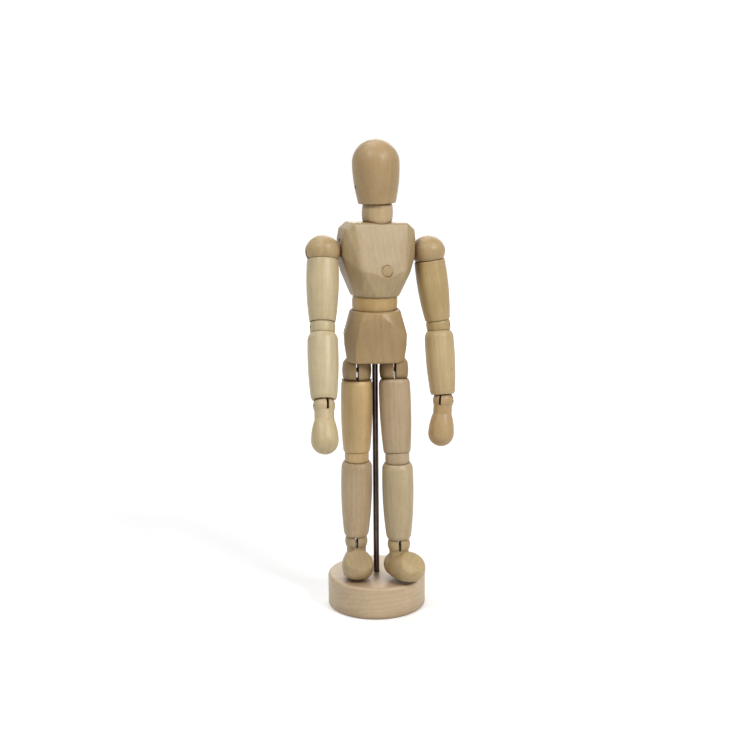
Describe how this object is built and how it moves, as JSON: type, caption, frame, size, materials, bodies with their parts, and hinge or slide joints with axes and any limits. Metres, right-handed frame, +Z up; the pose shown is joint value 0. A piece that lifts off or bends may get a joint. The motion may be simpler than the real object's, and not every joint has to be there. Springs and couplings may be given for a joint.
{
  "type": "jointed wooden mannequin on stand",
  "caption": "Turned wooden artist mannequin with ball joints drawn together by hidden springs, standing on a steel rod in a round wooden base",
  "frame": {"origin": "centre of the flat underside of the round base", "axes": "+Z up along the rod, -Y the way the figure faces, +X to the figure's left"},
  "size_m": [0.0938, 0.0962, 0.298],
  "materials": {
    "pale_wood": "satin clear varnish on pale hardwood",
    "warm_wood": "satin clear varnish on warmer hardwood",
    "base_wood": "satin clear varnish",
    "rod_steel": "drawn steel rod",
    "pin_steel": "plain wire pin",
    "spring_steel": "spring wire"
  },
  "bodies": {
    "stand": {"base": "base_wood", "rod": "rod_steel"},
    "pelvis": {"pelvis": "warm_wood", "pelvis_pin": "pin_steel", "torso_spring": "spring_steel", "right_hip_spring": "spring_steel", "left_hip_spring": "spring_steel"},
    "waist": {"waist_ball": "warm_wood"},
    "chest": {"chest": "pale_wood", "chest_plug": "warm_wood", "chest_pin": "pin_steel", "collar_pin": "pin_steel", "shoulder_spring": "spring_steel", "neck_spring": "spring_steel"},
    "neck": {"neck": "warm_wood"},
    "head": {"head": "warm_wood", "head_pin": "pin_steel"},
    "right_shoulder": {"right_shoulder_ball": "warm_wood", "right_shoulder_pin": "pin_steel"},
    "right_upper_arm": {"right_upper_arm": "pale_wood", "right_upper_arm_spring": "spring_steel"},
    "right_elbow": {"right_elbow_ball": "pale_wood", "right_elbow_pin": "pin_steel"},
    "right_forearm": {"right_forearm": "pale_wood"},
    "right_forearm_spring": {"right_forearm_spring": "spring_steel"},
    "right_hand": {"right_hand": "pale_wood", "right_wrist_pin": "pin_steel"},
    "right_hip": {"right_hip_ball": "warm_wood", "right_hip_pin": "pin_steel"},
    "right_thigh": {"right_thigh": "pale_wood", "right_thigh_spring": "spring_steel"},
    "right_knee": {"right_knee_ball": "pale_wood", "right_knee_pin": "pin_steel"},
    "right_shin": {"right_shin": "pale_wood"},
    "right_shin_spring": {"right_shin_spring": "spring_steel"},
    "right_foot": {"right_foot": "pale_wood", "right_ankle_pin": "pin_steel"},
    "left_shoulder": {"left_shoulder_ball": "warm_wood", "left_shoulder_pin": "pin_steel"},
    "left_upper_arm": {"left_upper_arm": "pale_wood", "left_upper_arm_spring": "spring_steel"},
    "left_elbow": {"left_elbow_ball": "pale_wood", "left_elbow_pin": "pin_steel"},
    "left_forearm": {"left_forearm": "pale_wood"},
    "left_forearm_spring": {"left_forearm_spring": "spring_steel"},
    "left_hand": {"left_hand": "pale_wood", "left_wrist_pin": "pin_steel"},
    "left_hip": {"left_hip_ball": "warm_wood", "left_hip_pin": "pin_steel"},
    "left_thigh": {"left_thigh": "pale_wood", "left_thigh_spring": "spring_steel"},
    "left_knee": {"left_knee_ball": "pale_wood", "left_knee_pin": "pin_steel"},
    "left_shin": {"left_shin": "pale_wood"},
    "left_shin_spring": {"left_shin_spring": "spring_steel"},
    "left_foot": {"left_foot": "pale_wood", "left_ankle_pin": "pin_steel"}
  },
  "joints": [
    {"name": "figure_turn", "type": "hinge", "parent": "stand", "child": "pelvis", "pos_m": [0, 0, 0.16162], "axis": [0, 0, 1], "continuous": true},
    {"name": "waist_turn", "type": "hinge", "parent": "pelvis", "child": "waist", "pos_m": [0, -0.003, 0.19832], "axis": [0, 0, 1], "range_deg": [-40, 40], "deforming": ["torso_spring"]},
    {"name": "waist_bend", "type": "hinge", "parent": "waist", "child": "chest", "pos_m": [0, -0.003, 0.19832], "axis": [0.9606, 0.2754, -0.0384], "range_deg": [-18, 20], "deforming": ["torso_spring"]},
    {"name": "neck_turn", "type": "hinge", "parent": "chest", "child": "neck", "pos_m": [0.00204, -0.00242, 0.25358], "axis": [0.0369, 0.0106, 0.9993], "range_deg": [-80, 80], "deforming": ["neck_spring"]},
    {"name": "head_nod", "type": "hinge", "parent": "neck", "child": "head", "pos_m": [0.00204, -0.00242, 0.25358], "axis": [0.9606, 0.2754, -0.0384], "range_deg": [-25, 30], "deforming": ["neck_spring"]},
    {"name": "right_shoulder_swing", "type": "hinge", "parent": "chest", "child": "right_shoulder", "pos_m": [-0.03205, -0.01219, 0.23172], "axis": [-0.9606, -0.2754, 0.0384], "range_deg": [-65, 140], "deforming": ["shoulder_spring"]},
    {"name": "right_arm_raise", "type": "hinge", "parent": "right_shoulder", "child": "right_upper_arm", "pos_m": [-0.03205, -0.01219, 0.23172], "axis": [-0.2726, 0.9054, -0.3253], "range_deg": [0, 80], "deforming": ["right_upper_arm_spring"]},
    {"name": "right_elbow_turn", "type": "hinge", "parent": "right_upper_arm", "child": "right_elbow", "pos_m": [-0.03344, -0.02872, 0.1869], "axis": [-0.0291, -0.3457, -0.9379], "range_deg": [-15, 90], "deforming": ["right_upper_arm_spring"]},
    {"name": "right_elbow_bend", "type": "hinge", "parent": "right_elbow", "child": "right_forearm", "pos_m": [-0.03344, -0.02872, 0.1869], "axis": [-0.9403, -0.3088, 0.143], "range_deg": [-30, 45], "deforming": ["right_forearm_spring"]},
    {"name": "right_wrist_turn", "type": "hinge", "parent": "right_forearm", "child": "right_forearm_spring", "pos_m": [-0.0337, -0.04812, 0.14332], "axis": [-0.0054, -0.4067, -0.9135], "range_deg": [-90, 90], "deforming": ["right_forearm_spring"]},
    {"name": "right_wrist_bend", "type": "hinge", "parent": "right_forearm_spring", "child": "right_hand", "pos_m": [-0.0337, -0.04812, 0.14332], "axis": [-0.9403, -0.3088, 0.143], "range_deg": [-35, 35]},
    {"name": "right_hip_spread", "type": "hinge", "parent": "pelvis", "child": "right_hip", "pos_m": [-0.0117, -0.003, 0.15572], "axis": [0, 1, 0], "range_deg": [0, 30], "deforming": ["right_hip_spring"]},
    {"name": "right_hip_swing", "type": "hinge", "parent": "right_hip", "child": "right_thigh", "pos_m": [-0.0117, -0.003, 0.15572], "axis": [-0.9999, 0, 0.014], "range_deg": [-30, 55], "deforming": ["right_thigh_spring"]},
    {"name": "right_knee_turn", "type": "hinge", "parent": "right_thigh", "child": "right_knee", "pos_m": [-0.01247, -0.00683, 0.10096], "axis": [0.0139, 0.0698, 0.9975], "range_deg": [-20, 8], "deforming": ["right_thigh_spring"]},
    {"name": "right_knee_bend", "type": "hinge", "parent": "right_knee", "child": "right_shin", "pos_m": [-0.01247, -0.00683, 0.10096], "axis": [0.9999, 0, -0.014], "range_deg": [-5, 32], "deforming": ["right_shin_spring"]},
    {"name": "right_ankle_turn", "type": "hinge", "parent": "right_shin", "child": "right_shin_spring", "pos_m": [-0.01326, -0.00484, 0.0441], "axis": [0.014, -0.0349, 0.9993], "range_deg": [-40, 8], "deforming": ["right_shin_spring"]},
    {"name": "right_ankle_bend", "type": "hinge", "parent": "right_shin_spring", "child": "right_foot", "pos_m": [-0.01326, -0.00484, 0.0441], "axis": [-0.9999, 0, 0.014], "range_deg": [-5, 25]},
    {"name": "left_shoulder_swing", "type": "hinge", "parent": "chest", "child": "left_shoulder", "pos_m": [0.03442, 0.00687, 0.22907], "axis": [-0.9606, -0.2754, 0.0384], "range_deg": [-55, 150], "deforming": ["shoulder_spring"]},
    {"name": "left_arm_raise", "type": "hinge", "parent": "left_shoulder", "child": "left_upper_arm", "pos_m": [0.03442, 0.00687, 0.22907], "axis": [0.2775, -0.9582, 0.0697], "range_deg": [0, 80], "deforming": ["left_upper_arm_spring"]},
    {"name": "left_elbow_turn", "type": "hinge", "parent": "left_upper_arm", "child": "left_elbow", "pos_m": [0.04077, 0.00526, 0.18172], "axis": [-0.1329, 0.0336, 0.9906], "range_deg": [-15, 90], "deforming": ["left_upper_arm_spring"]},
    {"name": "left_elbow_bend", "type": "hinge", "parent": "left_elbow", "child": "left_forearm", "pos_m": [0.04077, 0.00526, 0.18172], "axis": [-0.8928, 0.43, -0.1344], "range_deg": [-35, 38], "deforming": ["left_forearm_spring"]},
    {"name": "left_wrist_turn", "type": "hinge", "parent": "left_forearm", "child": "left_forearm_spring", "pos_m": [0.0427, -0.00525, 0.13523], "axis": [-0.0405, 0.2204, 0.9746], "range_deg": [-90, 90], "deforming": ["left_forearm_spring"]},
    {"name": "left_wrist_bend", "type": "hinge", "parent": "left_forearm_spring", "child": "left_hand", "pos_m": [0.0427, -0.00525, 0.13523], "axis": [-0.8928, 0.43, -0.1344], "range_deg": [-35, 35]},
    {"name": "left_hip_spread", "type": "hinge", "parent": "pelvis", "child": "left_hip", "pos_m": [0.0117, -0.003, 0.15572], "axis": [0, -1, 0], "range_deg": [0, 12], "deforming": ["left_hip_spring"]},
    {"name": "left_hip_swing", "type": "hinge", "parent": "left_hip", "child": "left_thigh", "pos_m": [0.0117, -0.003, 0.15572], "axis": [-0.9998, 0, -0.0175], "range_deg": [-35, 45], "deforming": ["left_thigh_spring"]},
    {"name": "left_knee_turn", "type": "hinge", "parent": "left_thigh", "child": "left_knee", "pos_m": [0.01265, -0.01456, 0.10134], "axis": [0.0171, -0.2079, -0.978], "range_deg": [-20, 8], "deforming": ["left_thigh_spring"]},
    {"name": "left_knee_bend", "type": "hinge", "parent": "left_knee", "child": "left_shin", "pos_m": [0.01265, -0.01456, 0.10134], "axis": [0.9998, 0.0171, 0.0138], "range_deg": [-10, 26], "deforming": ["left_shin_spring"]},
    {"name": "left_ankle_turn", "type": "hinge", "parent": "left_shin", "child": "left_shin_spring", "pos_m": [0.01344, -0.01456, 0.04445], "axis": [0.0138, 0, -0.9999], "range_deg": [-25, 20], "deforming": ["left_shin_spring"]},
    {"name": "left_ankle_bend", "type": "hinge", "parent": "left_shin_spring", "child": "left_foot", "pos_m": [0.01344, -0.01456, 0.04445], "axis": [-0.9998, -0.0171, -0.0138], "range_deg": [-5, 25]}
  ]
}
